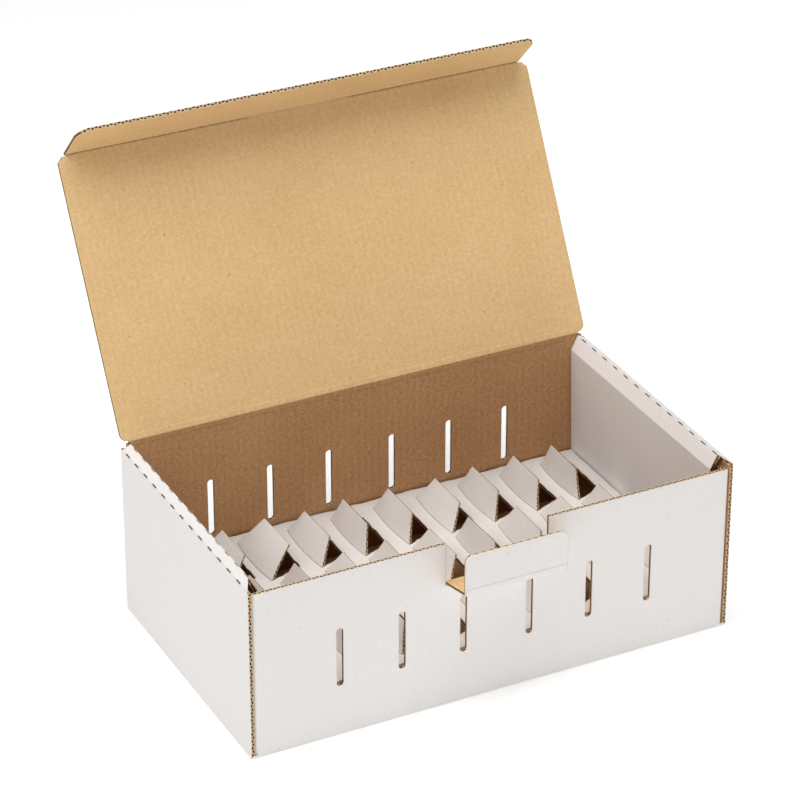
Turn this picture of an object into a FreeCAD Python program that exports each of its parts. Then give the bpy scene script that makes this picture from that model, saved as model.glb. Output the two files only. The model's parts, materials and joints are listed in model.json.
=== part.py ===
import FreeCAD
import Part
import Sketcher
import os
import re

# Queen cage shipping box: one die-cut corrugated sheet folded into a low mailer with rolled
# side walls, a hinged lid with a tuck flap and a lock tab in the front wall, and a second
# sheet folded into a low stand whose thirty raised tongues hold the cages upright.
# Frame: X along the length, Y to the rear, Z up, origin at the centre of the floor's underside.

doc = FreeCAD.newDocument("queen_cage_box")

SIZES = {
    # board and clearances
    "board_thickness": 1.5,
    "layer_gap": 0.2,
    "hinge_gap": 0.3,
    # outer box
    "box_length": 224.0,
    "box_depth": 128.0,
    "front_wall_height": 78.0,
    "side_wall_height": 80.0,
    # rolled side walls: outer wall, top strip, bevel and inner panel of one folded strip
    "roll_slope": 27.0,
    "roll_strip_width": 4.4,
    "roll_bevel_width": 7.3,
    "roll_panel_lean": 1.6,
    "roll_front_setback": 6.8,
    "roll_mitre_width": 3.4,
    "foot_tab_width": 18.0,
    "foot_tab_offset": 30.0,
    "foot_slot_clearance": 1.0,
    # perforated creases of the rolls
    "slit_length": 3.8,
    "slit_width": 0.6,
    "slit_pitch": 9.3,
    "slit_first_offset": 9.3,
    # dust flaps folded from the front and rear walls into the rolls
    "dust_flap_length": 50.0,
    "dust_flap_top_drop": 2.0,
    "wall_fold_radius": 2.0,
    "floor_fold_radius": 1.0,
    # vents
    "vent_width": 3.1,
    "vent_height": 27.5,
    "vent_first_offset": 15.4,
    "vent_pitch": 28.2,
    "vent_count": 3,
    "front_vent_centre_height": 37.7,
    "rear_vent_centre_height": 41.0,
    # lock tab cut from the front wall
    "tab_width": 47.0,
    "tab_side_gap": 0.2,
    "tab_hinge_height": 59.0,
    "tab_ledge_length": 17.3,
    "tab_ledge_rise": 12.5,
    "tab_tip_length": 17.8,
    "tab_tip_bend": 77.5,
    "tab_tip_radius": 3.0,
    # lid and tuck flap
    "lid_rest_gap": 0.3,
    "lid_open_angle": 118.7,
    "lid_corner_radius": 3.5,
    "lid_front_chamfer": 2.4,
    "lock_slit_width": 48.0,
    "lock_slit_depth": 0.8,
    "tuck_clearance": 1.25,
    "tuck_flap_length": 24.0,
    "tuck_flap_fold": 73.0,
    "tuck_side_gap": 0.5,
    "tuck_corner_radius": 6.0,
    # insert
    "insert_height": 24.4,
    "insert_side_gap": 0.3,
    "insert_end_gap": 0.7,
    "insert_fold_radius": 1.0,
    "slot_width": 13.4,
    "slot_hinge_length": 35.2,
    "slot_far_length": 24.2,
    "slot_pitch": 21.0,
    "row_pitch": 38.0,
    "slot_margin": 3.5,
    "slot_shift": 1.2,
    "tongue_length": 12.6,
    "tongue_end_length": 23.6,
    "tongue_angle": 71.0,
}

sheet = doc.addObject("Spreadsheet::Sheet", "Sizes")
for row, (name, number) in enumerate(SIZES.items(), start=1):
    sheet.set("A%d" % row, name)
    sheet.set("B%d" % row, str(number))
    sheet.setAlias("B%d" % row, name)
doc.recompute()


def bound(text):
    """The expression with every size name pointing at its cell in the sheet."""
    return re.sub(r"\b([a-z]+(?:_[a-z]+)+)\b", r"Sizes.\1", text)


# Lengths worked out from the sizes, as expressions.
HALF_LENGTH = "(box_length / 2)"
HALF_DEPTH = "(box_depth / 2)"
WALL_HALF_LENGTH = "(box_length / 2 - board_thickness - layer_gap)"
DUST_INNER = "(box_length / 2 - board_thickness * 2 - layer_gap)"
ROLL_REAR = "(box_depth / 2 - board_thickness - hinge_gap)"
RIDGE_X = "(box_length / 2 - roll_strip_width * cos(roll_slope))"
RIDGE_HEIGHT = "(side_wall_height + roll_strip_width * sin(roll_slope))"
BEVEL_X = "(%s - roll_bevel_width * sin(roll_slope))" % RIDGE_X
BEVEL_HEIGHT = "(%s - roll_bevel_width * cos(roll_slope))" % RIDGE_HEIGHT
PANEL_THICKNESS = "(board_thickness / cos(roll_panel_lean))"
FOOT_X = "(%s + (%s - board_thickness) * tan(roll_panel_lean))" % (BEVEL_X, BEVEL_HEIGHT)
LID_AXIS_Y = "(box_depth / 2 - board_thickness / 2)"
LID_AXIS_HEIGHT = "(%s + lid_rest_gap + board_thickness / 2)" % RIDGE_HEIGHT
REAR_WALL_HEIGHT = "(%s - board_thickness / 2 - hinge_gap)" % LID_AXIS_HEIGHT
KNUCKLE = "(board_thickness / 2 + hinge_gap)"
LID_DEPTH = "(box_depth - board_thickness * 2 - tuck_clearance)"
LID_TURN = "(180 - lid_open_angle)"
TUCK_TURN = "(180 - lid_open_angle + tuck_flap_fold)"
INSERT_HALF_LENGTH = "(%s + (%s - insert_height) * tan(roll_panel_lean) - insert_side_gap)" % (
    BEVEL_X, BEVEL_HEIGHT)
INSERT_HALF_DEPTH = "(box_depth / 2 - board_thickness - insert_end_gap)"

# As many slots and slits as the sheets have room for.
SLOT_COLUMNS = "floor((%s * 2 - slot_width - slot_margin * 2) / slot_pitch + 1)" % (
    INSERT_HALF_LENGTH)
SLOT_ROWS = "floor((%s * 2 - slot_hinge_length - slot_margin * 2) / row_pitch + 1)" % (
    INSERT_HALF_DEPTH)
SLIT_COUNT = "floor((box_depth - slit_first_offset - roll_front_setback) / slit_pitch + 1)"


def new_body(label):
    body = doc.addObject("PartDesign::Body", label)
    body.Label = label
    return body


def plane(body, role):
    return [f for f in body.Origin.OriginFeatures if f.Role == role][0]


def sketch_on(body, label, role, offset="0"):
    """An empty sketch on an origin plane, moved along the plane's normal."""
    sketch = body.newObject("Sketcher::SketchObject", label)
    sketch.AttachmentSupport = (plane(body, role), [""])
    sketch.MapMode = "FlatFace"
    sketch.setExpression("AttachmentOffset.Base.z", bound(offset))
    return sketch


def tie(sketch, kind, geometry, end, start, expression):
    number = sketch.addConstraint(Sketcher.Constraint(kind, -1, 1, geometry, end, start))
    sketch.setExpression("Constraints[%d]" % number, bound(expression))


def outline(sketch, corners):
    """A closed outline; each corner is tied to the origin by its two expressions."""
    count = len(corners)
    turn = FreeCAD.Rotation(FreeCAD.Vector(0, 0, 1), 360.0 / count)
    guess = [FreeCAD.Vector(50, 0, 0)]
    while len(guess) < count:
        guess.append(turn.multVec(guess[-1]))
    lines = [sketch.addGeometry(Part.LineSegment(guess[i], guess[(i + 1) % count]), False)
             for i in range(count)]
    for i in range(count):
        sketch.addConstraint(
            Sketcher.Constraint("Coincident", lines[i], 2, lines[(i + 1) % count], 1))
    for line, point, (across, up) in zip(lines, guess, corners):
        tie(sketch, "DistanceX", line, 1, point.x, across)
        tie(sketch, "DistanceY", line, 1, point.y, up)
    return sketch


def rectangle(sketch, left, right, low, high):
    return outline(sketch, [(left, low), (right, low), (right, high), (left, high)])


def circle(sketch, across, up, radius):
    ring = sketch.addGeometry(
        Part.Circle(FreeCAD.Vector(5, 5, 0), FreeCAD.Vector(0, 0, 1), 2), False)
    tie(sketch, "DistanceX", ring, 3, 5, across)
    tie(sketch, "DistanceY", ring, 3, 5, up)
    number = sketch.addConstraint(Sketcher.Constraint("Radius", ring, 2))
    sketch.setExpression("Constraints[%d]" % number, bound(radius))


def pad(body, label, sketch, length, reverse=False):
    feature = body.newObject("PartDesign::Pad", label)
    feature.Profile = sketch
    feature.setExpression("Length", bound(length))
    feature.Reversed = reverse
    sketch.Visibility = False
    return feature


def pocket(body, label, sketch, length):
    feature = body.newObject("PartDesign::Pocket", label)
    feature.Profile = sketch
    feature.setExpression("Length", bound(length))
    sketch.Visibility = False
    return feature


def pattern(body, label, axis_sketch, axis, length, count):
    feature = body.newObject("PartDesign::LinearPattern", label)
    feature.Direction = (axis_sketch, [axis])
    feature.setExpression("Length", bound(length))
    feature.setExpression("Occurrences", bound(count))
    return feature


def mirror(body, label, axis_sketch, originals=None):
    """A mirror image in the YZ plane, of its own originals or as one step of a repeat."""
    doc.recompute()
    feature = body.newObject("PartDesign::Mirrored", label)
    feature.MirrorPlane = (axis_sketch, ["V_Axis"])
    if originals:
        feature.Originals = originals
        body.Tip = feature
        doc.recompute()
    return feature


def repeat(body, label, originals, steps):
    """Copies of the given features through several patterns at once."""
    doc.recompute()
    feature = body.newObject("PartDesign::MultiTransform", label)
    feature.Originals = originals
    feature.Transformations = steps
    body.Tip = feature
    doc.recompute()
    return feature


def round_edges(body, label, radius, chosen):
    """A fillet on the edges that the test picks out of the body's last feature."""
    doc.recompute()
    last = body.Tip
    names = ["Edge%d" % (i + 1) for i, edge in enumerate(last.Shape.Edges) if chosen(edge)]
    feature = body.newObject("PartDesign::Fillet", label)
    feature.Base = (last, names)
    feature.setExpression("Radius", bound(radius))
    body.Tip = feature
    return feature


def runs_along(edge, axis):
    """Whether a straight edge runs along X, Y or Z (0, 1 or 2)."""
    if len(edge.Vertexes) != 2:
        return False
    start, end = edge.Vertexes[0].Point, edge.Vertexes[1].Point
    span = [abs(end[i] - start[i]) for i in range(3)]
    return span[axis] > 0.5 and sum(span) - span[axis] < 1e-6


def middle(edge):
    return edge.BoundBox.Center


def knuckle(body, label, half_length):
    """The rounded end of a board at its crease, a bead as thick as the board along X."""
    bead = body.newObject("PartDesign::AdditiveCylinder", label)
    bead.AttachmentSupport = (plane(body, "YZ_Plane"), [""])
    bead.MapMode = "FlatFace"
    bead.setExpression("Radius", bound("board_thickness / 2"))
    bead.setExpression("Height", bound("(%s) * 2" % half_length))
    bead.setExpression("AttachmentOffset.Base.z", bound("-(%s)" % half_length))
    return bead


# ---------------------------------------------------------------- box body
# Floor, front and rear walls, dust flaps and the two rolled side walls, all one sheet.
box = new_body("box_body")

# The right rolled wall's section: outer wall, top strip, bevel and inner panel.
fold_in = "board_thickness * tan((90 - roll_slope) / 2)"
bevel_fold_in = "board_thickness * tan((roll_slope + roll_panel_lean) / 2)"
roll_section = outline(sketch_on(box, "roll_section", "XZ_Plane", "-" + ROLL_REAR), [
    (HALF_LENGTH, "0"),
    (HALF_LENGTH, "side_wall_height"),
    (RIDGE_X, RIDGE_HEIGHT),
    (BEVEL_X, BEVEL_HEIGHT),
    (FOOT_X, "board_thickness"),
    (FOOT_X + " + " + PANEL_THICKNESS, "board_thickness"),
    (BEVEL_X + " + board_thickness * cos(roll_slope) + %s * sin(roll_slope)" % bevel_fold_in,
     BEVEL_HEIGHT + " - board_thickness * sin(roll_slope) + %s * cos(roll_slope)" % bevel_fold_in),
    (RIDGE_X + " + board_thickness * (cos(roll_slope) - sin(roll_slope))",
     RIDGE_HEIGHT + " - board_thickness * (cos(roll_slope) + sin(roll_slope))"),
    (HALF_LENGTH + " - board_thickness", "side_wall_height - " + fold_in),
    (HALF_LENGTH + " - board_thickness", "0"),
])
roll = pad(box, "roll", roll_section, HALF_DEPTH + " + " + ROLL_REAR)

# The inner leaves stop short of the front wall, which leaves room for the tuck flap.
LEAF_FRONT = "-(%s) + roll_front_setback" % HALF_DEPTH
LEAF_OUTER = RIDGE_X + " + board_thickness * (cos(roll_slope) - sin(roll_slope)) + 0.01"
leaf_cut_sketch = rectangle(
    sketch_on(box, "leaf_cut_outline", "XY_Plane", RIDGE_HEIGHT + " + 1"),
    BEVEL_X + " - 1", LEAF_OUTER, "-%s - 1" % HALF_DEPTH, LEAF_FRONT)
leaf_cut = pocket(box, "leaf_cut", leaf_cut_sketch, RIDGE_HEIGHT + " + 1 - board_thickness")
mitre_sketch = outline(sketch_on(box, "mitre_outline", "XY_Plane", RIDGE_HEIGHT + " + 1"), [
    (BEVEL_X + " - 1", "-%s - 1" % HALF_DEPTH),
    (HALF_LENGTH, "-%s - 1" % HALF_DEPTH),
    (HALF_LENGTH, "-" + HALF_DEPTH),
    (HALF_LENGTH + " - roll_mitre_width", LEAF_FRONT),
    (BEVEL_X + " - 1", LEAF_FRONT),
])
mitre = pocket(box, "mitre", mitre_sketch, RIDGE_HEIGHT + " + 1 - side_wall_height + " + fold_in)

floor_sketch = rectangle(sketch_on(box, "floor_outline", "XY_Plane"),
                         "-" + HALF_LENGTH, HALF_LENGTH, "-" + HALF_DEPTH, HALF_DEPTH)
floor = pad(box, "floor", floor_sketch, "board_thickness")
mirror(box, "left_roll", floor_sketch, [roll, leaf_cut, mitre])

# The outer side wall's last stretch beside the rear wall.
side_end_sketch = rectangle(sketch_on(box, "side_end_outline", "XY_Plane"),
                            HALF_LENGTH + " - board_thickness", HALF_LENGTH,
                            ROLL_REAR + " - 1", HALF_DEPTH)
side_end = pad(box, "side_end", side_end_sketch, "side_wall_height")

# Two tabs on each inner panel stand in slots of the floor.
foot_parts = []
for label, sign in (("front", "-"), ("rear", "")):
    centre = "(%sfoot_tab_offset)" % sign
    slot_sketch = rectangle(
        sketch_on(box, label + "_foot_slot_outline", "XY_Plane", "board_thickness + 0.1"),
        FOOT_X + " - layer_gap", FOOT_X + " + %s + layer_gap" % PANEL_THICKNESS,
        centre + " - foot_tab_width / 2 - foot_slot_clearance",
        centre + " + foot_tab_width / 2 + foot_slot_clearance")
    foot_slot = pocket(box, label + "_foot_slot", slot_sketch, "board_thickness + 0.2")
    tab_sketch = rectangle(
        sketch_on(box, label + "_foot_tab_outline", "XY_Plane", "layer_gap"),
        FOOT_X, FOOT_X + " + " + PANEL_THICKNESS,
        centre + " - foot_tab_width / 2", centre + " + foot_tab_width / 2")
    foot_tab = pad(box, label + "_foot_tab", tab_sketch, "board_thickness + 0.3")
    foot_parts += [foot_slot, foot_tab]
mirror(box, "left_feet", floor_sketch, [side_end] + foot_parts)

# The front wall has a notch that the lock tab fills when it stands up.
notch_half = "(tab_width / 2 + tab_side_gap)"
notch_floor = "tab_hinge_height - " + KNUCKLE
front_sketch = outline(
    sketch_on(box, "front_wall_outline", "XZ_Plane", HALF_DEPTH + " - board_thickness"), [
        ("-" + WALL_HALF_LENGTH, "0"),
        (WALL_HALF_LENGTH, "0"),
        (WALL_HALF_LENGTH, "front_wall_height"),
        (notch_half, "front_wall_height"),
        (notch_half, notch_floor),
        ("-" + notch_half, notch_floor),
        ("-" + notch_half, "front_wall_height"),
        ("-" + WALL_HALF_LENGTH, "front_wall_height"),
    ])
front_wall = pad(box, "front_wall", front_sketch, "board_thickness")
rear_sketch = rectangle(sketch_on(box, "rear_wall_outline", "XZ_Plane", "-" + HALF_DEPTH),
                        "-" + WALL_HALF_LENGTH, WALL_HALF_LENGTH, "0", REAR_WALL_HEIGHT)
rear_wall = pad(box, "rear_wall", rear_sketch, "board_thickness")

# Dust flaps lie between the outer wall and the inner panel.
dust_parts = []
for label, near, far in (
        ("front", "-" + HALF_DEPTH, "-%s + dust_flap_length" % HALF_DEPTH),
        ("rear", HALF_DEPTH + " - dust_flap_length", HALF_DEPTH)):
    flap_sketch = rectangle(
        sketch_on(box, label + "_dust_flap_outline", "XY_Plane", "board_thickness + hinge_gap"),
        DUST_INNER, WALL_HALF_LENGTH, near, far)
    dust_parts.append(pad(
        box, label + "_dust_flap", flap_sketch,
        "front_wall_height - dust_flap_top_drop - board_thickness - hinge_gap"))
mirror(box, "left_dust_flaps", floor_sketch, dust_parts)

# Round-ended vents, three on each side of the middle in both long walls.
for label, offset, height in (
        ("front", HALF_DEPTH + " + 0.2", "front_vent_centre_height"),
        ("rear", "-%s + board_thickness + 0.2" % HALF_DEPTH, "rear_vent_centre_height")):
    straight = "(vent_height - vent_width) / 2"
    body_sketch = rectangle(
        sketch_on(box, label + "_vent_outline", "XZ_Plane", offset),
        "vent_first_offset - vent_width / 2", "vent_first_offset + vent_width / 2",
        "%s - %s" % (height, straight), "%s + %s" % (height, straight))
    vent = pocket(box, label + "_vent", body_sketch, "board_thickness + 0.4")
    end_sketch = sketch_on(box, label + "_vent_ends_outline", "XZ_Plane", offset)
    for sign in ("-", "+"):
        circle(end_sketch, "vent_first_offset", "%s %s %s" % (height, sign, straight),
               "vent_width / 2")
    ends = pocket(box, label + "_vent_ends", end_sketch, "board_thickness + 0.4")
    repeat(box, label + "_vents", [vent, ends], [
        pattern(box, label + "_vent_row", floor_sketch, "H_Axis",
                "vent_pitch * (vent_count - 1)", "vent_count"),
        mirror(box, label + "_vent_mirror", floor_sketch)])


def slit_outline(sketch, across, up, direction):
    """A narrow rectangle through a crease, laid along the fold's bisector."""
    ends = []
    for along, side in (("-0.4", "-"), ("-0.4", "+"), ("2.6", "+"), ("2.6", "-")):
        ends.append((
            "%s + (%s) * cos(%s) %s slit_width / 2 * sin(%s)" % (
                across, along, direction, side, direction),
            "%s + (%s) * sin(%s) %s slit_width / 2 * cos(%s)" % (
                up, along, direction, "-" if side == "+" else "+", direction)))
    return outline(sketch, ends)


slit_start = "(%s - slit_first_offset - slit_pitch * (%s - 1))" % (HALF_DEPTH, SLIT_COUNT)
slits = []
for label, across, up, direction in (
        ("outer_slit", HALF_LENGTH, "side_wall_height", "(180 + (90 - roll_slope) / 2)"),
        ("ridge_slit", RIDGE_X, RIDGE_HEIGHT, "(315 - roll_slope)")):
    slit_sketch = slit_outline(
        sketch_on(box, label + "_outline", "XZ_Plane", "-(%s)" % slit_start),
        across, up, direction)
    slits.append(pocket(box, label, slit_sketch, "slit_length"))
repeat(box, "perforations", slits, [
    pattern(box, "slit_row", floor_sketch, "V_Axis",
            "slit_pitch * (%s - 1)" % SLIT_COUNT, SLIT_COUNT),
    mirror(box, "slit_mirror", floor_sketch)])

wall_half = float(SIZES["box_length"]) / 2 - SIZES["board_thickness"] - SIZES["layer_gap"]
half_depth = SIZES["box_depth"] / 2
round_edges(box, "wall_folds", "wall_fold_radius", lambda edge: (
    runs_along(edge, 2) and abs(abs(middle(edge).x) - wall_half) < 0.01
    and abs(abs(middle(edge).y) - half_depth) < 0.01))
round_edges(box, "floor_folds", "floor_fold_radius", lambda edge: (
    runs_along(edge, 0) and abs(middle(edge).z) < 0.01
    and abs(abs(middle(edge).y) - half_depth) < 0.01))

# ---------------------------------------------------------------- insert
# A second sheet: a plate on four folded legs, pierced by rows of slots whose flaps stand up.
insert = new_body("insert")
plate_sketch = rectangle(
    sketch_on(insert, "plate_outline", "XY_Plane", "insert_height - board_thickness"),
    "-" + INSERT_HALF_LENGTH, INSERT_HALF_LENGTH, "-" + INSERT_HALF_DEPTH, INSERT_HALF_DEPTH)
plate = pad(insert, "plate", plate_sketch, "board_thickness")
side_leg_sketch = rectangle(
    sketch_on(insert, "side_leg_outline", "XY_Plane", "board_thickness"),
    INSERT_HALF_LENGTH + " - board_thickness", INSERT_HALF_LENGTH,
    "-%s + board_thickness + layer_gap" % INSERT_HALF_DEPTH,
    INSERT_HALF_DEPTH + " - board_thickness - layer_gap")
side_leg = pad(insert, "side_leg", side_leg_sketch, "insert_height - board_thickness * 1.5")
mirror(insert, "other_side_leg", plate_sketch, [side_leg])
for label, low, high in (
        ("front_leg", "-" + INSERT_HALF_DEPTH, "-%s + board_thickness" % INSERT_HALF_DEPTH),
        ("rear_leg", INSERT_HALF_DEPTH + " - board_thickness", INSERT_HALF_DEPTH)):
    leg_sketch = rectangle(sketch_on(insert, label + "_outline", "XY_Plane", "board_thickness"),
                           "-%s" % INSERT_HALF_LENGTH, INSERT_HALF_LENGTH, low, high)
    pad(insert, label, leg_sketch, "insert_height - board_thickness * 1.5")

hinge_x = "(-((%s - 1) * slot_pitch + slot_width) / 2 - slot_shift)" % SLOT_COLUMNS
row_y = "(-(%s - 1) * row_pitch / 2)" % SLOT_ROWS
slot_sketch = outline(sketch_on(insert, "slot_outline", "XY_Plane", "insert_height + 0.2"), [
    (hinge_x, row_y + " - slot_hinge_length / 2"),
    (hinge_x + " + slot_width", row_y + " - slot_far_length / 2"),
    (hinge_x + " + slot_width", row_y + " + slot_far_length / 2"),
    (hinge_x, row_y + " + slot_hinge_length / 2"),
])
slot = pocket(insert, "slot", slot_sketch, "board_thickness + 0.4")
fold_sketch = outline(
    sketch_on(insert, "tongue_fold_outline", "XZ_Plane", "-(%s + slot_hinge_length / 2)" % row_y),
    [
        (hinge_x + " - 0.3", "insert_height - board_thickness"),
        (hinge_x, "insert_height - board_thickness"),
        (hinge_x + " + board_thickness * sin(tongue_angle)",
         "insert_height - board_thickness * cos(tongue_angle)"),
        (hinge_x, "insert_height"),
        (hinge_x + " - 0.3", "insert_height"),
    ])
tongue_fold = pad(insert, "tongue_fold", fold_sketch, "slot_hinge_length")
tongue_sketch = sketch_on(insert, "tongue_outline", "XY_Plane", "insert_height")
tongue_sketch.AttachmentOffset = FreeCAD.Placement(
    FreeCAD.Vector(0, 0, 20), FreeCAD.Rotation(FreeCAD.Vector(0, -1, 0), 60))
tongue_sketch.setExpression("AttachmentOffset.Base.x", bound(hinge_x))
tongue_sketch.setExpression("AttachmentOffset.Base.y", bound(row_y))
tongue_sketch.setExpression("AttachmentOffset.Rotation.Angle", bound("tongue_angle"))
outline(tongue_sketch, [
    ("0", "-slot_hinge_length / 2"),
    ("tongue_length", "-tongue_end_length / 2"),
    ("tongue_length", "tongue_end_length / 2"),
    ("0", "slot_hinge_length / 2"),
])
tongue = pad(insert, "tongue", tongue_sketch, "board_thickness", reverse=True)
repeat(insert, "tongue_rows", [slot, tongue_fold, tongue], [
    pattern(insert, "slot_columns_row", plate_sketch, "H_Axis",
            "slot_pitch * (%s - 1)" % SLOT_COLUMNS, SLOT_COLUMNS),
    pattern(insert, "slot_rows_row", plate_sketch, "V_Axis",
            "row_pitch * (%s - 1)" % SLOT_ROWS, SLOT_ROWS)])
insert_top = SIZES["insert_height"]
round_edges(insert, "plate_folds", "insert_fold_radius", lambda edge: (
    abs(middle(edge).z - insert_top) < 0.01
    and ((runs_along(edge, 1) and abs(middle(edge).x) > insert.Shape.BoundBox.XMax - 0.01)
         or (runs_along(edge, 0) and abs(middle(edge).y) > insert.Shape.BoundBox.YMax - 0.01))))


def board_corners(body, label, radius, chosen):
    """Rounds the corners of a flat board that lies in the body's XY plane."""
    return round_edges(body, label, radius,
                       lambda edge: runs_along(edge, 2) and chosen(middle(edge)))


def stand(body, axis_x, turn, across_y, height):
    """Puts a flat board's crease at its axis and turns the board about it."""
    body.Placement = FreeCAD.Placement(
        FreeCAD.Vector(0, 0, 0), FreeCAD.Rotation(FreeCAD.Vector(axis_x, 0, 0), 45))
    body.setExpression("Placement.Rotation.Angle", bound(turn))
    body.setExpression("Placement.Base.y", bound(across_y))
    body.setExpression("Placement.Base.z", bound(height))


# ---------------------------------------------------------------- lid
# Flat in its own frame: crease on X, board along +Y, kraft face +Z.
lid = new_body("lid")
lid_front = LID_DEPTH + " - " + KNUCKLE
lid_sketch = outline(sketch_on(lid, "lid_outline", "XY_Plane", "-board_thickness / 2"), [
    ("-" + HALF_LENGTH, "0"),
    (HALF_LENGTH, "0"),
    (HALF_LENGTH, lid_front + " - lid_front_chamfer"),
    (HALF_LENGTH + " - lid_front_chamfer", lid_front),
    ("lock_slit_width / 2", lid_front),
    ("lock_slit_width / 2", lid_front + " - lock_slit_depth"),
    ("-lock_slit_width / 2", lid_front + " - lock_slit_depth"),
    ("-lock_slit_width / 2", lid_front),
    ("-%s + lid_front_chamfer" % HALF_LENGTH, lid_front),
    ("-" + HALF_LENGTH, lid_front + " - lid_front_chamfer"),
])
pad(lid, "lid_board", lid_sketch, "board_thickness")
board_corners(lid, "lid_corners", "lid_corner_radius", lambda at: abs(at.y) < 0.01)
knuckle(lid, "lid_crease", HALF_LENGTH + " - lid_corner_radius")
stand(lid, 1, LID_TURN, LID_AXIS_Y, LID_AXIS_HEIGHT)

# ---------------------------------------------------------------- tuck flap
tuck = new_body("tuck_flap")
tuck_half = "(%s - tuck_side_gap)" % DUST_INNER
tuck_sketch = rectangle(sketch_on(tuck, "tuck_outline", "XY_Plane", "-board_thickness / 2"),
                        "-" + tuck_half, tuck_half, "0", "tuck_flap_length")
pad(tuck, "tuck_board", tuck_sketch, "board_thickness")
board_corners(tuck, "tuck_corners", "tuck_corner_radius",
              lambda at: at.y > SIZES["tuck_flap_length"] - 0.01)
knuckle(tuck, "tuck_crease", tuck_half)
stand(tuck, 1, TUCK_TURN, "%s + %s * cos%s" % (LID_AXIS_Y, LID_DEPTH, LID_TURN),
      "%s + %s * sin%s" % (LID_AXIS_HEIGHT, LID_DEPTH, LID_TURN))

# ---------------------------------------------------------------- lock tab
# The ledge part: crease on X, board along -Y, kraft face +Z.
tab = new_body("lock_tab")
tab_sketch = rectangle(sketch_on(tab, "tab_outline", "XY_Plane", "-board_thickness / 2"),
                       "-tab_width / 2", "tab_width / 2",
                       "-tab_ledge_length + " + KNUCKLE, "0")
pad(tab, "tab_board", tab_sketch, "board_thickness")
knuckle(tab, "tab_crease", "tab_width / 2")
TAB_AXIS_Y = "(-box_depth / 2 + board_thickness / 2)"
stand(tab, -1, "tab_ledge_rise", TAB_AXIS_Y, "tab_hinge_height")

# The tip, folded up from the ledge's far edge.
tip = new_body("lock_tab_tip")
tip_sketch = rectangle(sketch_on(tip, "tip_outline", "XY_Plane", "-board_thickness / 2"),
                       "-tab_width / 2", "tab_width / 2", "-tab_tip_length", "0")
pad(tip, "tip_board", tip_sketch, "board_thickness")
board_corners(tip, "tip_corners", "tab_tip_radius",
              lambda at: at.y < 0.01 - SIZES["tab_tip_length"])
knuckle(tip, "tip_crease", "tab_width / 2")
stand(tip, -1, "tab_ledge_rise + tab_tip_bend",
      TAB_AXIS_Y + " - tab_ledge_length * cos(tab_ledge_rise)",
      "tab_hinge_height + tab_ledge_length * sin(tab_ledge_rise)")

doc.recompute()

faults = [item.Label for item in doc.Objects
          if "Invalid" in item.State or "Error" in item.State]
if faults:
    raise RuntimeError("objects with errors: " + ", ".join(faults))

os.makedirs("parts", exist_ok=True)
for body in (box, insert, lid, tuck, tab, tip):
    shape = body.Shape
    if shape.isNull() or not shape.isValid() or len(shape.Solids) != 1:
        raise RuntimeError(body.Label + " is not one valid solid")
    shape.exportStep("parts/%s.step" % body.Label)
    size = shape.BoundBox
    print("%-13s %6d faces  volume %9.1f  x %8.2f %8.2f  y %8.2f %8.2f  z %7.2f %7.2f" % (
        body.Label, len(shape.Faces), shape.Volume,
        size.XMin, size.XMax, size.YMin, size.YMax, size.ZMin, size.ZMax))
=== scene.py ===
import json
import math
import random

import bmesh
import bpy
from mathutils import Matrix, Vector


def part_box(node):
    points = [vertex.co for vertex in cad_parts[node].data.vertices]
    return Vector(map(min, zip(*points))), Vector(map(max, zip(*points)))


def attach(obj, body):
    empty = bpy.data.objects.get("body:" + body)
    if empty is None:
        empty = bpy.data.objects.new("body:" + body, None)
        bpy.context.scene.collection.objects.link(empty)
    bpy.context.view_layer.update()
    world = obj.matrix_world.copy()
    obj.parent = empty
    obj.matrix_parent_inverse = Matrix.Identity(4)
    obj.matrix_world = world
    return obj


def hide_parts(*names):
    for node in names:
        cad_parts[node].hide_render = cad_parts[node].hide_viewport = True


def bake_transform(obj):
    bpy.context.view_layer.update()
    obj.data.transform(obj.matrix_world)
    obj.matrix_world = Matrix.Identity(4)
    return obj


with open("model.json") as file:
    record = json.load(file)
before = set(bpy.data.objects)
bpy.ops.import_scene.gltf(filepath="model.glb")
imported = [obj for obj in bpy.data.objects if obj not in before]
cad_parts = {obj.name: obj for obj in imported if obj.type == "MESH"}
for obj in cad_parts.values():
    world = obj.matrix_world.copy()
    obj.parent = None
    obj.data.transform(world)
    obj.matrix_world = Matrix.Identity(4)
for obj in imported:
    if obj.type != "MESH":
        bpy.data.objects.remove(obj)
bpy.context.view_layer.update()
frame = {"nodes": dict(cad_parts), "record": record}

scene = bpy.context.scene
nodes = frame["nodes"]

# ------------------------------------------------------------------ box sheet
# The box is one die-cut blank of E-flute corrugated board: a bleached liner outside, a brown
# kraft liner inside, and a wavy fluting glued between them that shows on every cut edge.
# It is folded into a floor, front and rear walls with dust flaps, and double side walls.
BOARD = 0.0015
FLUTE_PITCH = 0.0034
SIDE_WALL_TOP = 0.080
ROLL_SLOPE = math.radians(27)
ROLL_STRIP = 0.0044
ROLL_BEVEL = 0.0073
PANEL_LEAN = math.radians(1.6)
LAYER_GAP = 0.0002
FOLD_ROUND = 0.0006
TOLERANCE = 0.0001
WHITE, KRAFT, EDGE = range(3)
# A place on the sheet that is far from any crease.
OFF_CREASE = (0.0, 1.0)


def linear(text):
    """A #RRGGBB colour as linear RGBA."""
    parts = [int(text[i:i + 2], 16) / 255 for i in (1, 3, 5)]
    return [c / 12.92 if c <= 0.04045 else ((c + 0.055) / 1.055) ** 2.4 for c in parts] + [1]


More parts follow.
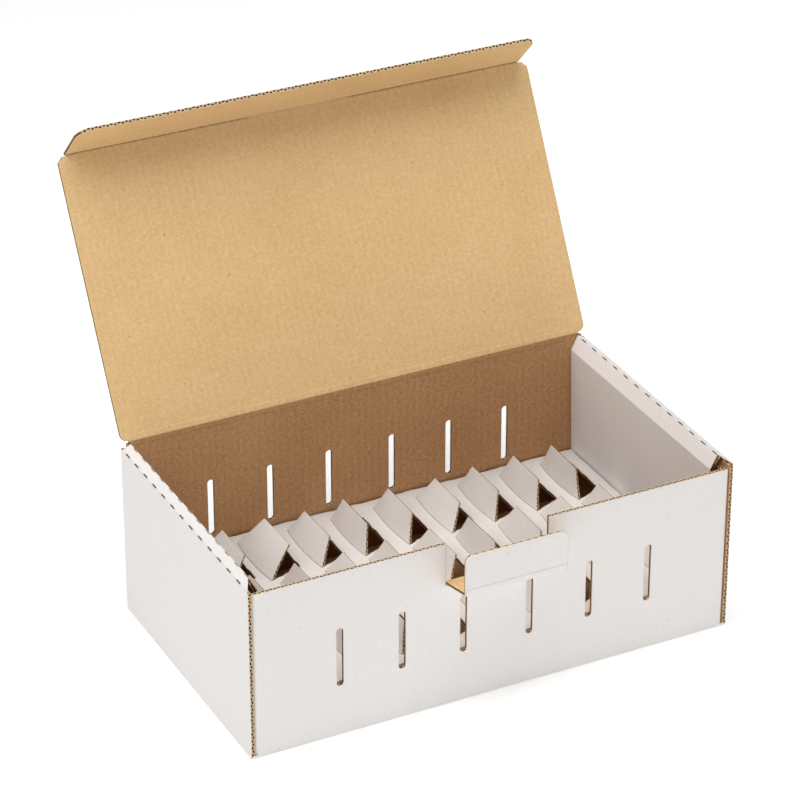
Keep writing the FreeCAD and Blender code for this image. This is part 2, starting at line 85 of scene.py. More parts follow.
def add(tree, kind, settings=None, links=None, out=None):
    """Adds a node, sets its properties and sockets, and gives the output that others link to."""
    node = tree.nodes.new(kind)
    for name, value in (settings or {}).items():
        if isinstance(name, str) and hasattr(node, name):
            setattr(node, name, value)
        else:
            node.inputs[name].default_value = value
    for name, source in (links or {}).items():
        tree.links.new(source, node.inputs[name])
    if out is not None:
        return node.outputs[out]
    return next((socket for socket in node.outputs if socket.enabled), None)


def board_paper(name, light, dark, fleck, mottle, roughness, crease=None):
    """A liner of the board: fibre mottle about 1 mm across, slow cloudiness and small flecks."""
    # Fibres are 0.02 mm thick, too fine to show, so their bundles are drawn 0.5 mm apart.
    # They clot into clumps 1.6 mm across, and the pulp's thickness drifts over 35 mm.
    fibre_gap, clump_size, cloud_size = 0.0005, 0.0016, 0.035
    # Flecks are bark and recycled print, about half a millimetre across and 9 mm apart.
    fleck_gap, fleck_fray = 0.009, 0.0009
    # The three noises, weighted 0.9, 1 and 0.35, add up to this on average.
    middle_tone = 1.12
    material = bpy.data.materials.new(name)
    material.use_nodes = True
    tree = material.node_tree
    tree.nodes.clear()
    place = add(tree, "ShaderNodeTexCoord", out="Object")
    drawn_out = add(tree, "ShaderNodeMapping", {"Scale": (0.4, 1.0, 1.0)}, {"Vector": place})
    fibre = add(tree, "ShaderNodeTexNoise", {"Scale": 1 / fibre_gap, "Detail": 3.0},
                {"Vector": drawn_out})
    clump = add(tree, "ShaderNodeTexNoise",
                {"Scale": 1 / clump_size, "Detail": 4.0, "Roughness": 0.65}, {"Vector": place})
    cloud = add(tree, "ShaderNodeTexNoise", {"Scale": 1 / cloud_size, "Detail": 2.0},
                {"Vector": place})
    texture = add(tree, "ShaderNodeMath", {"operation": "MULTIPLY_ADD", 1: 0.9},
                  {0: fibre, 2: clump})
    texture = add(tree, "ShaderNodeMath", {"operation": "MULTIPLY_ADD", 1: 0.35},
                  {0: cloud, 2: texture})
    # Washboarding: the flutes show through the liner as faint bands, one every pitch. They
    # repeat along X, but up the side walls, where the flutes lie level.
    at = add(tree, "ShaderNodeSeparateXYZ", links={0: place}, out=0)
    height = add(tree, "ShaderNodeSeparateXYZ", links={0: place}, out=2)
    side = add(tree, "ShaderNodeSeparateXYZ",
               links={0: add(tree, "ShaderNodeTexCoord", out="Normal")}, out=0)
    side = add(tree, "ShaderNodeMath", {"operation": "ABSOLUTE"}, {0: side})
    flutes = add(tree, "ShaderNodeMix", {"data_type": "FLOAT"}, {0: side, 2: at, 3: height})
    flutes = add(tree, "ShaderNodeMath",
                 {"operation": "MULTIPLY", 1: 2 * math.pi / FLUTE_PITCH}, {0: flutes})
    flutes = add(tree, "ShaderNodeMath", {"operation": "SINE"}, {0: flutes})
    texture = add(tree, "ShaderNodeMath", {"operation": "MULTIPLY_ADD", 1: 0.03},
                  {0: flutes, 2: texture})
    tone = add(tree, "ShaderNodeMapRange",
               {"From Min": middle_tone - mottle, "From Max": middle_tone + mottle},
               {"Value": texture})
    colour = add(tree, "ShaderNodeMix", {"data_type": "RGBA", 6: linear(dark),
                                         7: linear(light)}, {0: tone})
    fray = add(tree, "ShaderNodeTexNoise", {"Scale": 1 / fleck_fray}, {"Vector": place}, "Color")
    ragged = add(tree, "ShaderNodeVectorMath",
                 {"operation": "MULTIPLY_ADD", 1: (fleck_fray, fleck_fray, fleck_fray)},
                 {0: fray, 2: place})
    spot = add(tree, "ShaderNodeTexVoronoi", {"Scale": 1 / fleck_gap}, {"Vector": ragged},
               "Distance")
    spot = add(tree, "ShaderNodeMapRange", {"From Min": 0.055, "From Max": 0.030},
               {"Value": spot})
    spot = add(tree, "ShaderNodeMath", {"operation": "MULTIPLY", 1: 0.55}, {0: spot})
    colour = add(tree, "ShaderNodeMix", {"data_type": "RGBA", 7: linear(fleck)},
                 {0: spot, 6: colour})
    if crease:
        # A pressed crease: a line half a millimetre to either side of it is darkened, painted
        # shade of the fold's groove, and clumps make its border uneven.
        sheet = add(tree, "ShaderNodeSeparateXYZ",
                    links={0: add(tree, "ShaderNodeUVMap")}, out=1)
        crease_shade_distance = add(tree, "ShaderNodeMath", {"operation": "MULTIPLY_ADD", 1: 0.0004},
                   {0: clump, 2: sheet})
        line = add(tree, "ShaderNodeMapRange", {"From Min": 0.0008, "From Max": 0.0004},
                   {"Value": crease_shade_distance})
        line = add(tree, "ShaderNodeMath", {"operation": "MULTIPLY", 1: 0.85}, {0: line})
        colour = add(tree, "ShaderNodeMix", {"data_type": "RGBA", 7: linear(crease)},
                     {0: line, 6: colour})
    gloss = add(tree, "ShaderNodeMapRange",
                {"To Min": roughness - 0.06, "To Max": roughness + 0.06}, {"Value": cloud})
    # Folds of paper board are never sharp: the bevel rounds them by about half a millimetre.
    soft = add(tree, "ShaderNodeBevel", {"samples": 6, "Radius": FOLD_ROUND})
    relief = add(tree, "ShaderNodeBump", {"Strength": 0.22, "Distance": 0.00015},
                 {"Height": texture, "Normal": soft})
    shader = add(tree, "ShaderNodeBsdfPrincipled", {"IOR": 1.5, "Specular IOR Level": 0.3},
                 {"Base Color": colour, "Roughness": gloss, "Normal": relief})
    add(tree, "ShaderNodeOutputMaterial", links={"Surface": shader})
    return material


# Bleached kraft, machine finished: nearly even and slightly warm, with a soft sheen.
bleached_liner = board_paper("bleached_liner", "#EBE8E6", "#E3DFDC", "#C6BDB5", 0.42, 0.58,
                             crease="#A09287")
# Unbleached kraft as it leaves the machine: matt, mottled and flecked.
kraft_liner = board_paper("kraft_liner", "#E4C28E", "#D2AB77", "#8A6238", 0.30, 0.78,
                          crease="#7A4E2A")
# The same liner inside the tray, painted a deeper and redder brown: painted shade for the tray's
# shaded inside.
shaded_tray_kraft_liner = board_paper("shaded_tray_kraft_liner", "#D5A779", "#AD7F54", "#6E4826", 0.30, 0.74)

# The cut edge: v runs across the board from the kraft liner to the bleached one, and u along the
# cut. The fluting swings by 0.3 of the thickness to either side of the middle, so a cut across
# the flutes shows hollows every half flute, and one along them a single long gap. The hollows
# are painted near black: painted shade.
fluted_edge = bpy.data.materials.new("fluted_edge")
fluted_edge.use_nodes = True
tree = fluted_edge.node_tree
tree.nodes.clear()
cut = add(tree, "ShaderNodeUVMap")
along = add(tree, "ShaderNodeSeparateXYZ", links={0: cut}, out=0)
across = add(tree, "ShaderNodeSeparateXYZ", links={0: cut}, out=1)
torn = add(tree, "ShaderNodeTexNoise", {"Scale": 1 / 0.0007, "Detail": 3.0},
           {"Vector": add(tree, "ShaderNodeTexCoord", out="Object")})
turn = add(tree, "ShaderNodeMath", {"operation": "MULTIPLY", 1: 2 * math.pi / FLUTE_PITCH},
           {0: along})
turn = add(tree, "ShaderNodeMath", {"operation": "MULTIPLY_ADD", 1: 1.6}, {0: torn, 2: turn})
wave = add(tree, "ShaderNodeMath", {"operation": "SINE"}, {0: turn})
wave = add(tree, "ShaderNodeMath", {"operation": "MULTIPLY_ADD", 1: 0.3, 2: 0.5}, {0: wave})
off_wave = add(tree, "ShaderNodeMath", {"operation": "SUBTRACT"}, {0: across, 1: wave})
off_wave = add(tree, "ShaderNodeMath", {"operation": "ABSOLUTE"}, {0: off_wave})
hollow = add(tree, "ShaderNodeMapRange", {"From Min": 0.10, "From Max": 0.16},
             {"Value": off_wave})
crest = add(tree, "ShaderNodeMath", {"operation": "SUBTRACT", 1: 0.5}, {0: wave})
crest = add(tree, "ShaderNodeMath", {"operation": "ABSOLUTE"}, {0: crest})
crest = add(tree, "ShaderNodeMapRange", {"From Min": 0.10, "From Max": 0.17}, {"Value": crest})
hollow = add(tree, "ShaderNodeMath", {"operation": "MULTIPLY"}, {0: hollow, 1: crest})
off_middle = add(tree, "ShaderNodeMath", {"operation": "SUBTRACT", 1: 0.5}, {0: across})
off_middle = add(tree, "ShaderNodeMath", {"operation": "ABSOLUTE"}, {0: off_middle})
core = add(tree, "ShaderNodeMapRange", {"From Min": 0.39, "From Max": 0.34},
           {"Value": off_middle})
hollow = add(tree, "ShaderNodeMath", {"operation": "MULTIPLY"}, {0: hollow, 1: core})
colour = add(tree, "ShaderNodeMix", {"data_type": "RGBA", 6: linear("#BE9C70"),
                                     7: linear("#DFC9A6")}, {0: torn})
# The hollows' near black is painted shade.
colour = add(tree, "ShaderNodeMix", {"data_type": "RGBA", 7: linear("#25140A")},
             {0: hollow, 6: colour})
skin = add(tree, "ShaderNodeMapRange", {"From Min": 0.89, "From Max": 0.93},
           {"Value": across})
colour = add(tree, "ShaderNodeMix", {"data_type": "RGBA", 7: linear("#E9E1D5")},
             {0: skin, 6: colour})
solid = add(tree, "ShaderNodeMath", {"operation": "SUBTRACT", 0: 1.0}, {1: hollow})
relief = add(tree, "ShaderNodeBump", {"Strength": 0.5, "Distance": 0.0005},
             {"Height": solid})
shader = add(tree, "ShaderNodeBsdfPrincipled",
             {"IOR": 1.5, "Specular IOR Level": 0.15, "Roughness": 0.9},
             {"Base Color": colour, "Normal": relief})
add(tree, "ShaderNodeOutputMaterial", links={"Surface": shader})


def dress(node, judge, inside=kraft_liner):
    """Gives each face of a node its liner or cut edge, and its place on the sheet."""
    mesh = node.data
    mesh.materials.clear()
    for material in (bleached_liner, inside, fluted_edge):
        mesh.materials.append(material)
    sheet = mesh.uv_layers.new(name="sheet")
    for face in mesh.polygons:
        face.material_index, place = judge(face.normal, face.center)
        face.use_smooth = False
        for loop in face.loop_indices:
            point = mesh.vertices[mesh.loops[loop].vertex_index].co
            sheet.data[loop].uv = place(point) if place else OFF_CREASE


half_x, half_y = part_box("box_body")[1][0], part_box("box_body")[1][1]
wall_x = half_x - BOARD - LAYER_GAP
dust_x = wall_x - BOARD
roll_top = Vector((half_x, SIDE_WALL_TOP))
roll_ridge = roll_top + ROLL_STRIP * Vector((-math.cos(ROLL_SLOPE), math.sin(ROLL_SLOPE)))
roll_bend = roll_ridge - ROLL_BEVEL * Vector((math.sin(ROLL_SLOPE), math.cos(ROLL_SLOPE)))
roll_foot = Vector((roll_bend.x + (roll_bend.y - BOARD) * math.tan(PANEL_LEAN), BOARD))
ROLL = ((roll_top, roll_ridge), (roll_ridge, roll_bend), (roll_bend, roll_foot))


def roll_depth(x, z):
    """How far a point of the roll's section lies outside it, along it, and under its liner.
    A point that two strips share at a fold belongs to the one whose liner is nearer."""
    found = []
    for start, end in ROLL:
        length = (end - start).length
        run = (end - start) / length
        offset = Vector((x, z)) - start
        along, under = offset.dot(run), offset.dot(Vector((-run.y, run.x)))
        miss = max(-along, along - length, 0) + max(-under, under - BOARD, 0)
        found.append((round(miss, 5), under, along))
    miss, under, along = min(found)
    return miss, along, under


def box_face(n, p):
    """The liner or cut edge that a face of the box body shows, from its normal and centre."""
    x, y, z = abs(p.x), abs(p.y), p.z
    out_x = n.x if p.x > 0 else -n.x
    in_wall = abs(y - half_y + BOARD / 2) < BOARD
    # The outer side walls, and the rolls over them.
    if abs(n.y) < 0.3 and x > roll_bend.x - TOLERANCE and z > BOARD + TOLERANCE:
        if x > half_x - TOLERANCE and out_x > 0.5:
            return WHITE, None
        if x > wall_x + LAYER_GAP - TOLERANCE and z < SIDE_WALL_TOP - 0.0005 and out_x < -0.5:
            return KRAFT, None
        miss, _, under = roll_depth(x, z)
        if miss < TOLERANCE and not in_wall:
            if under < TOLERANCE:
                return WHITE, None
            if under > BOARD - TOLERANCE:
                return KRAFT, None
    # The front and rear walls.
    if abs(n.y) > 0.9 and x < wall_x + TOLERANCE:
        if y > half_y - TOLERANCE:
            return WHITE, None
        if abs(y - half_y + BOARD) < TOLERANCE and x < dust_x + TOLERANCE:
            return KRAFT, None
    # The dust flaps.
    if abs(n.x) > 0.9 and dust_x - TOLERANCE < x < wall_x + TOLERANCE:
        return (WHITE if out_x > 0 else KRAFT), None
    # The floor, from below and from above.
    if n.z < -0.3 and z < BOARD - 3 * TOLERANCE:
        return WHITE, None
    if n.z > 0.9 and abs(z - BOARD) < TOLERANCE:
        return KRAFT, None
    # The rounded folds between the front and rear walls and their dust flaps.
    if x > dust_x and y > half_y - BOARD * 1.4 and abs(n.z) < 0.3 and out_x > 0.1:
        return WHITE, None

    def place(q):
        """Along the cut and across the board, from 0 at the kraft liner to 1 at the other."""
        qx, qy = abs(q.x), abs(q.y)
        if abs(n.y) > 0.5:
            if qx > half_x - BOARD - TOLERANCE and z < SIDE_WALL_TOP - 0.001:
                return q.z, (qx - half_x + BOARD) / BOARD
            _, along, under = roll_depth(qx, q.z)
            return along, 1 - under / BOARD
        if in_wall:
            return (q.x if abs(n.z) > 0.5 else 0), (qy - half_y + BOARD) / BOARD
        if dust_x - TOLERANCE < x < wall_x + TOLERANCE:
            return (q.y if abs(n.z) > 0.5 else 0), (qx - dust_x) / BOARD
        return 0, 1 - roll_depth(qx, q.z)[2] / BOARD
    return EDGE, place


# The tray's inner kraft gets the painted-shade brown.
dress(nodes["box_body"], box_face, shaded_tray_kraft_liner)

# ------------------------------------------------------------------ insert
# A second sheet of E-flute board, bleached side up, folded down on all four sides as legs and
# dropped into the box. Thirty die-cut tongues are bent up by hand beside their slots, so each
# stands a little differently and its board bows where the flutes give.
insert_low, insert_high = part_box("insert")
PLATE_TOP = 0.0244
SLOT_PITCH, ROW_PITCH = 0.021, 0.038
SLOT_WIDTH, SLOT_SHIFT = 0.0134, 0.0012
HINGE_LENGTH, FAR_LENGTH = 0.0352, 0.0242
TONGUE_LENGTH, TONGUE_END = 0.0126, 0.0236
# How far the tongues stand up, in degrees: any of them, and those of the rear row.
LEANS = (60, 78)
REAR_ROW = (66, 55, 56, 61, 74, 70, 59, 70, 73, 82)
COLUMNS, ROWS = 10, 3
# A slot's sides and its tongue are drawn in this many steps.
CUTS = 8
# How far a fold bulges past its slot, and how far a cut strays from straight.
FOLD_BULGE, ROUGH_CUT = 0.0014, 0.0003
# At most how far a tongue twists, in degrees, and how far it bellies out, with the share of
# its length where that is.
TWIST = 2
BELLY, KNEE = 0.0002, 0.38
# The bend crushes the flutes at a tongue's root, and its tip is thinner still.
ROOT_THICK, TIP_THICK = 0.0012, 0.0007
# Two tongues tore past their folds: how far, how long they became, and their lean.
TORN = {(2, 1): (0.0014, 0.0159, 51), (2, 2): (0.0028, 0.0165, 49)}

# The insert's top is the bleached liner painted a slightly greyer and warmer white: painted
# shade for the shade inside the box.
shaded_insert_liner = board_paper("shaded_insert_bleached_liner", "#E3DEDA", "#DBD5D0", "#C1B8AF", 0.42, 0.58,
                           crease="#A09287")
# Its underside is kraft liner painted a dark brown: painted shade for the dark space under the
# plate, seen through the slots.
shaded_underside_liner = board_paper("shaded_underside_kraft_liner", "#8E6240", "#7A5234", "#56381E", 0.30, 0.8)

rng = random.Random(7)
insert_form = bmesh.new()
sheet = insert_form.loops.layers.uv.new("sheet")


def patch(points, kind, places=None):
    """One face of the insert with its liner or edge and its places on the sheet."""
    face = insert_form.faces.new([insert_form.verts.new(point) for point in points])
    face.material_index = kind
    for loop, at in zip(face.loops, places or [OFF_CREASE] * len(points)):
        loop[sheet].uv = at
    return face


def both_sides(points):
    """A piece of the flat plate: its bleached top and its kraft underside."""
    patch([Vector((x, y, PLATE_TOP)) for x, y in points], WHITE)
    patch([Vector((x, y, PLATE_TOP - BOARD)) for x, y in reversed(points)], KRAFT)


def between(start, end):
    """The points of a straight cut, from its start to its end."""
    return [start.lerp(end, step / CUTS) for step in range(CUTS + 1)]


def ripple(at, seed):
    """The unevenness of a folded edge: two waves, 15 and 7 mm long, up to 0.8 mm inwards."""
    long_wave, short_wave = math.sin(at * 410 + seed), math.sin(at * 930 + 2 * seed)
    return 0.0004 + 0.00025 * long_wave + 0.00015 * short_wave


half_hinge, half_far, half_end = HINGE_LENGTH / 2, FAR_LENGTH / 2, TONGUE_END / 2
first_hinge = -((COLUMNS - 1) * SLOT_PITCH + SLOT_WIDTH) / 2 - SLOT_SHIFT
margin = (SLOT_PITCH - SLOT_WIDTH) / 2
for row in range(ROWS):
    middle = (row - (ROWS - 1) / 2) * ROW_PITCH
    for column in range(COLUMNS):
        hinge = first_hinge + column * SLOT_PITCH
        tear, length, lean = TORN.get((row, column), (0, TONGUE_LENGTH, rng.uniform(*LEANS)))
        corners = [Vector((hinge - margin, middle - ROW_PITCH / 2)),
                   Vector((hinge - margin + SLOT_PITCH, middle - ROW_PITCH / 2)),
                   Vector((hinge - margin + SLOT_PITCH, middle + ROW_PITCH / 2)),
                   Vector((hinge - margin, middle + ROW_PITCH / 2))]
        fold = hinge - tear
        slot = [Vector((fold, middle - half_hinge)),
                Vector((hinge + SLOT_WIDTH, middle - half_far)),
                Vector((hinge + SLOT_WIDTH, middle + half_far)),
                Vector((fold, middle + half_hinge))]
        for side in range(4):
            outer = between(corners[side], corners[(side + 1) % 4])
            inner = between(slot[side], slot[(side + 1) % 4])
            square = (slot[(side + 1) % 4] - slot[side]).orthogonal().normalized()
            for step in range(1, CUTS):
                if side == 3:
                    inner[step].x -= FOLD_BULGE * (1 - (2 * step / CUTS - 1) ** 2)
                else:
                    inner[step] += square * rng.uniform(-ROUGH_CUT, ROUGH_CUT)
            for step in range(CUTS):
                both_sides([outer[step], outer[step + 1], inner[step + 1], inner[step]])
                if side < 3:
                    a, b = inner[step], inner[step + 1]
                    u, w = (0, 0) if side == 1 else (a.x, b.x)
                    patch([a.to_3d() + Vector((0, 0, PLATE_TOP)),
                           b.to_3d() + Vector((0, 0, PLATE_TOP)),
                           b.to_3d() + Vector((0, 0, PLATE_TOP - BOARD)),
                           a.to_3d() + Vector((0, 0, PLATE_TOP - BOARD))],
                          EDGE, [(u, 1), (w, 1), (w, 0), (u, 0)])

        # The tongue, bent up from the bulged fold to a straight free edge.
        if row == ROWS - 1 and not tear:
            lean = REAR_ROW[column]
        twist = rng.uniform(-TWIST, TWIST)
        belly = rng.uniform(-BELLY, BELLY)
        top, under = [], []
        for across_step in range(CUTS + 1):
            s = 2 * across_step / CUTS - 1
            angle = math.radians(lean + twist * s)
            rise = Vector((math.cos(angle), math.sin(angle)))
            foot = Vector((fold - FOLD_BULGE * (1 - s * s), PLATE_TOP))
            tip = Vector((fold, PLATE_TOP)) + rise * length
            knee = foot.lerp(tip, KNEE) + Vector((rise.y, -rise.x)) * 2 * belly
            tops, unders = [], []
            for step in range(CUTS + 1):
                t = step / CUTS
                at = foot.lerp(knee, t).lerp(knee.lerp(tip, t), t)
                run = (knee - foot).lerp(tip - knee, t).normalized()
                if step == 0:
                    run = Vector((1, 0))
                y = middle + s * (half_hinge + (half_end - half_hinge) * t)
                tops.append(Vector((at.x, y, at.y)))
                thick = ROOT_THICK + (TIP_THICK - ROOT_THICK) * t
                unders.append(Vector((at.x + thick * run.y, y, at.y - thick * run.x)))
            top.append(tops)
            under.append(unders)
        for i in range(CUTS):
            for j in range(CUTS):
                near, far = j * TONGUE_LENGTH / CUTS, (j + 1) * TONGUE_LENGTH / CUTS
                # The bleached face gets its place from the fold, for the painted crease shade
                # there.
                patch([top[i][j], top[i][j + 1], top[i + 1][j + 1], top[i + 1][j]],
                      WHITE, [(0, near), (0, far), (0, far), (0, near)])
                patch([under[i][j], under[i + 1][j], under[i + 1][j + 1], under[i][j + 1]],
                      KRAFT)
            patch([top[i][CUTS], under[i][CUTS], under[i + 1][CUTS], top[i + 1][CUTS]],
                  EDGE, [(0, 1), (0, 0), (0, 0), (0, 1)])
            for end in (0, CUTS):
                u, w = i * TONGUE_LENGTH / CUTS, (i + 1) * TONGUE_LENGTH / CUTS
                patch([top[end][i], under[end][i], under[end][i + 1], top[end][i + 1]],
                      EDGE, [(u, 1), (u, 0), (w, 0), (w, 1)])

# The plate's margins and its four legs, folded down where the margins end.
grid_x = [first_hinge - margin + SLOT_PITCH * step / CUTS for step in range(COLUMNS * CUTS + 1)]
grid_y = [(step / CUTS - ROWS / 2) * ROW_PITCH for step in range(ROWS * CUTS + 1)]
edge_x, edge_y = insert_high[0], insert_high[1]
stations_x = [-edge_x] + grid_x + [edge_x]
stations_y = [-edge_y] + grid_y + [edge_y]
for sign in (-1, 1):
    for a, b in zip(stations_x, stations_x[1:]):
        inner = sign * ROWS * ROW_PITCH / 2
        outer = [Vector((q, sign * (edge_y - ripple(q, sign)))) for q in (a, b)]
        both_sides([Vector((a, inner)), Vector((b, inner)), outer[1], outer[0]][::sign])
        low = [Vector((q.x, q.y, insert_low[2])) for q in outer]
        high = [Vector((q.x, q.y, PLATE_TOP)) for q in outer]
        inset = Vector((0, -sign * BOARD, 0))
        patch([low[0], low[1], high[1], high[0]], WHITE)
        patch([q + inset for q in (low[0], low[1], high[1], high[0])], KRAFT)
        patch([low[0], low[1], low[1] + inset, low[0] + inset], EDGE,
              [(a, 1), (b, 1), (b, 0), (a, 0)])
    for a, b in zip(stations_y, stations_y[1:]):
        inner = grid_x[0] if sign < 0 else grid_x[-1]
        outer = [Vector((sign * (edge_x - ripple(q, 3 + sign)), q)) for q in (a, b)]
        if a > -edge_y and b < edge_y:
            both_sides([Vector((inner, a)), Vector((inner, b)), outer[1], outer[0]][::-sign])
        low = [Vector((q.x, q.y, insert_low[2])) for q in outer]
        high = [Vector((q.x, q.y, PLATE_TOP)) for q in outer]
        inset = Vector((-sign * BOARD, 0, 0))
        patch([low[0], low[1], high[1], high[0]], WHITE)
        patch([q + inset for q in (low[0], low[1], high[1], high[0])], KRAFT)
        patch([low[0], low[1], low[1] + inset, low[0] + inset], EDGE,
              [(0, 1), (0, 1), (0, 0), (0, 0)])

insert_mesh = bpy.data.meshes.new("insert_board")
insert_form.to_mesh(insert_mesh)
insert_form.free()
for material in (shaded_insert_liner, shaded_underside_liner, fluted_edge):
    insert_mesh.materials.append(material)
insert_board = bpy.data.objects.new("insert_board", insert_mesh)
scene.collection.objects.link(insert_board)
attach(insert_board, "box")
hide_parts("insert")

# ------------------------------------------------------------------ lid, tuck flap, lock tab
# Flat boards of the box sheet beyond its rear and front walls, kraft side in. Each hangs on a
# pressed crease, and the lid's front crease is slit in the middle for the lock tab's tip.
joints = {joint["name"]: joint for joint in frame["record"]["behaviour"]["joints"]}
# The material slot of the tray's painted-shade kraft.
SHADED_TRAY_KRAFT = 3
SLIT_HALF = 0.024
# How each board runs from its crease at rest, in degrees: the lid, its tuck flap, the lock
# tab's ledge and its tip.
OPEN = 180 - 118.7
FLAP = OPEN + 73
LEDGE, TIP = 167.5, 90
# A crease's strip: how far it reaches into both boards, its half thickness, which lets it cover
# them by a hair, its rings as shares of that reach, a distance from the axis into each board,
# and how far it stops short of the ends of the flap's and the tab's creases.
CREASE_REACH, CREASE_HALF_THICK = 0.0024, 0.0008
CREASE_STATIONS = (-1, -0.6, -0.32, 0, 0.32, 0.6, 1)
CREASE_GRIP = 0.0009
FLAP_INSET, TAB_INSET = 0.0008, 0.0002


def toward(degrees):
    """A direction in the YZ plane, counted from +Y towards +Z."""
    angle = math.radians(degrees)
    return Vector((0, math.cos(angle), math.sin(angle)))


def flat_board(joint_name, run_angle, kraft_angle, crease_run=None, crush=1.0):
    """A judge for a board that runs from its joint's axis, with painted shade along the crease
    at one run.
    Where the cutting die crushed the edge, the bleached liner wraps over part of it."""
    axis = Vector(joints[joint_name]["pos_m"])
    run_to, kraft = toward(run_angle), toward(kraft_angle)

    def judge(n, p):
        facing = n.dot(kraft)
        if facing < -0.35:
            return WHITE, None
        if facing > 0.35:
            if crease_run is None:
                return KRAFT, None
            return KRAFT, lambda q: (q.x, abs((q - axis).dot(run_to) - crease_run)
                                     + max(0, SLIT_HALF - abs(q.x)))
        return EDGE, lambda q: (0 if abs(n.x) > 0.7 else q.x,
                                1 - (0.5 + (q - axis).dot(kraft) / BOARD) * crush)
    return judge


lid_depth = (Vector(joints["tuck_flap_fold"]["pos_m"])
             - Vector(joints["lid_swing"]["pos_m"])).length
dress(nodes["lid"], flat_board("lid_swing", OPEN, OPEN + 90, lid_depth))
dress(nodes["tuck_flap"], flat_board("tuck_flap_fold", FLAP, FLAP + 90, 0))
dress(nodes["lock_tab"], flat_board("lock_tab_fold", LEDGE, LEDGE - 90))
dress(nodes["lock_tab_tip"], flat_board("lock_tab_tip_fold", TIP, TIP - 90, crush=0.2))


def crease(name, joint_name, bodies, into, kraft, span, slot):
    """The board across a crease: a thin strip that lies inside both boards at the crease.
    The two directions in `into` run from the axis into each board, those in `kraft` out of
    its kraft liner, and `span` is the strip's reach along X."""
    axis = Vector(joints[joint_name]["pos_m"])
    strip = bmesh.new()
    rings, runs = [], {}
    for s in CREASE_STATIONS:
        if s:
            side = 0 if s < 0 else 1
            centre = axis + toward(into[side]) * abs(s) * CREASE_REACH
            normal = toward(kraft[side])
        else:
            centre, normal = axis, (toward(kraft[0]) + toward(kraft[1])).normalized()
        out = normal * CREASE_HALF_THICK
        rings.append([strip.verts.new(centre + out * way + Vector((x, 0, 0)))
                      for x, way in ((span[0], 1), (span[1], 1), (span[1], -1), (span[0], -1))])
        # The painted crease shade is drawn twice as wide here, as the fold hides its middle.
        for vert in rings[-1]:
            runs[vert] = abs(s) * CREASE_REACH / 2
    for step, (one, two) in enumerate(zip(rings, rings[1:])):
        # The half that lies in the box's wall has the tray's deeper brown, which is painted
        # shade.
        kraft_here = SHADED_TRAY_KRAFT if bodies[0] == "box" and step < 3 else KRAFT
        for i, kind in enumerate((kraft_here, EDGE, WHITE, EDGE)):
            face = strip.faces.new((one[i], two[i], two[(i + 1) % 4], one[(i + 1) % 4]))
            face.material_index = kind
    strip.faces.new(rings[0])
    strip.faces.new(reversed(rings[-1]))
    bmesh.ops.recalc_face_normals(strip, faces=strip.faces)
    sheet = strip.loops.layers.uv.new("sheet")
    for face in strip.faces:
        for loop in face.loops:
            loop[sheet].uv = (0, runs[loop.vert]) if name.startswith("tuck") else OFF_CREASE
    mesh = bpy.data.meshes.new(name)
    strip.to_mesh(mesh)
    strip.free()
    for material in (bleached_liner, kraft_liner, fluted_edge, shaded_tray_kraft_liner):
        mesh.materials.append(material)
    piece = bpy.data.objects.new(name, mesh)
    scene.collection.objects.link(piece)
    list(bodies)
    axis + toward(into[0]) * CREASE_GRIP
    axis + toward(into[1]) * CREASE_GRIP
    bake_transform(piece)


flap_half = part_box("tuck_flap")[1][0] - FLAP_INSET
tab_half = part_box("lock_tab")[1][0] - TAB_INSET
crease("lid_crease", "lid_swing", ("box", "lid"), (-90, OPEN), (180, OPEN + 90),
       (-flap_half, flap_half), "lid_board")
for side in (-1, 1):
    crease("tuck_crease_%s" % ("left" if side < 0 else "right"), "tuck_flap_fold",
           ("lid", "tuck_flap"), (OPEN + 180, FLAP), (OPEN + 90, FLAP + 90),
           sorted((side * SLIT_HALF, side * flap_half)), "lid_board")
crease("slit_lip", "tuck_flap_fold", ("lid", "tuck_flap"), (OPEN + 180, FLAP),
       (OPEN + 90, FLAP + 90), (-SLIT_HALF, SLIT_HALF), "lid_board")
crease("tab_crease", "lock_tab_fold", ("box", "lock_tab"), (-90, LEDGE), (0, LEDGE - 90),
       (-tab_half, tab_half), "lid_board")
crease("tip_crease", "lock_tab_tip_fold", ("lock_tab", "lock_tab_tip"), (LEDGE - 180, TIP),
       (LEDGE - 90, TIP - 90), (-tab_half, tab_half), "lid_board")

# ------------------------------------------------------------------ studio
# A white paper sweep under the box and four large round soft boxes: overhead, high on the
# left, on the right, and a low one in front for the outer walls.
SWEEP = 3
SOFT_BOX = 1.4
LIT_POINT = Vector((0, 0, 0.06))
floor_mesh = bpy.data.meshes.new("floor")
floor_mesh.from_pydata([(-SWEEP, -SWEEP, 0), (SWEEP, -SWEEP, 0), (SWEEP, SWEEP, 0),
                        (-SWEEP, SWEEP, 0)], [], [(0, 1, 2, 3)])
floor = bpy.data.objects.new("floor", floor_mesh)
scene.collection.objects.link(floor)
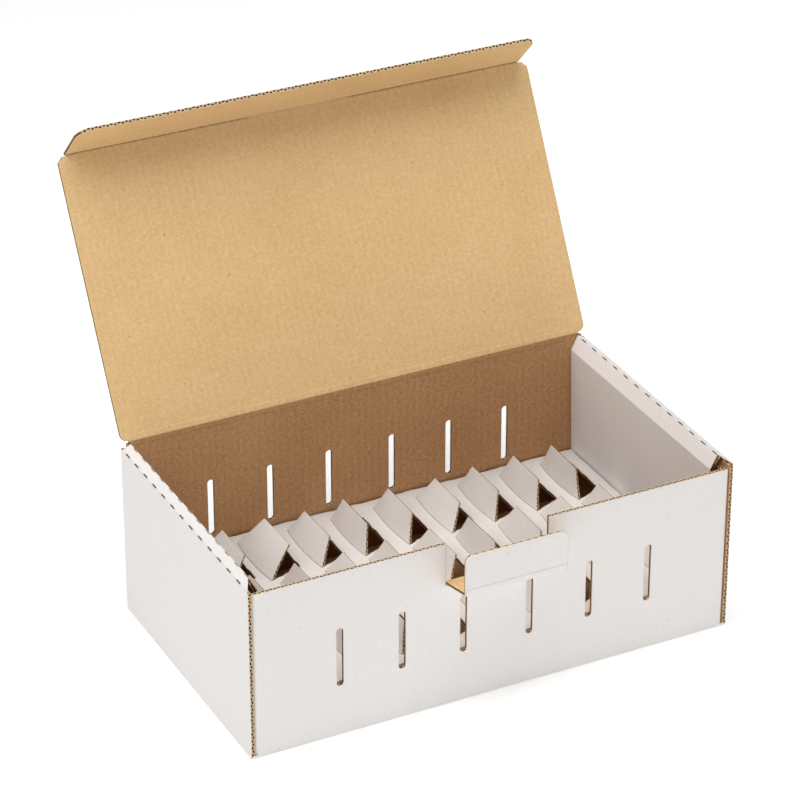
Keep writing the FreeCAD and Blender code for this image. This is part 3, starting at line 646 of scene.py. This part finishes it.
# Matt background paper: its tone drifts over 30 cm, and a little light of its own keeps it pale.
sweep_paper = bpy.data.materials.new("sweep_paper")
sweep_paper.use_nodes = True
tree = sweep_paper.node_tree
tree.nodes.clear()
grain = add(tree, "ShaderNodeTexNoise", {"Scale": 1 / 0.3, "Detail": 2.0},
            {"Vector": add(tree, "ShaderNodeTexCoord", out="Object")})
colour = add(tree, "ShaderNodeMix", {"data_type": "RGBA", 6: linear("#FAFAF9"),
                                     7: linear("#FDFDFC")}, {0: grain})
shader = add(tree, "ShaderNodeBsdfPrincipled",
             {"Roughness": 0.9, "Specular IOR Level": 0.1, "Emission Strength": 0.22},
             {"Base Color": colour, "Emission Color": colour})
add(tree, "ShaderNodeOutputMaterial", links={"Surface": shader})
floor_mesh.materials.append(sweep_paper)

world = bpy.data.worlds.new("studio")
world.use_nodes = True
world.node_tree.nodes["Background"].inputs["Color"].default_value = (1, 1, 1, 1)
world.node_tree.nodes["Background"].inputs["Strength"].default_value = 0.06
scene.world = world
for name, spot, power in (("overhead", (0, 0, 1.6), 16.5), ("left_high", (-1.1, 0, 1.3), 13.5),
                          ("right", (1.5, 0, 0.8), 7.5), ("front_low", (-0.2, -1.5, 0.3), 8.0)):
    lamp = bpy.data.lights.new(name, "AREA")
    lamp.shape = "DISK"
    lamp.size = SOFT_BOX
    lamp.energy = power
    light = bpy.data.objects.new(name, lamp)
    light.location = spot
    light.rotation_euler = (LIT_POINT - Vector(spot)).to_track_quat("-Z", "Y").to_euler()
    scene.collection.objects.link(light)

# The camera stands 27 degrees to the left of the front and looks 29 degrees down through a
# long lens. It is moved a little to the left and up, so that the open lid fits in too.
AZIMUTH, ELEVATION, DISTANCE = math.radians(-26.869), math.radians(29.062), 1.505657
AIM = Vector((0, 0, 0.040))
SHIFT_LEFT, SHIFT_UP = 0.010922, 0.058487
back = Vector((math.sin(AZIMUTH) * math.cos(ELEVATION),
               -math.cos(AZIMUTH) * math.cos(ELEVATION), math.sin(ELEVATION)))
right = Vector((math.cos(AZIMUTH), math.sin(AZIMUTH), 0))
up = back.cross(right)
spot = AIM + back * DISTANCE - right * SHIFT_LEFT + up * SHIFT_UP
lens = bpy.data.cameras.new("camera")
lens.sensor_width = 36
lens.lens = 159.04
lens.clip_start = 0.05
camera = bpy.data.objects.new("camera", lens)
camera.matrix_world = Matrix((
    (right.x, up.x, back.x, spot.x), (right.y, up.y, back.y, spot.y),
    (right.z, up.z, back.z, spot.z), (0, 0, 0, 1)))
scene.collection.objects.link(camera)
scene.camera = camera
scene.view_settings.view_transform = "Standard"
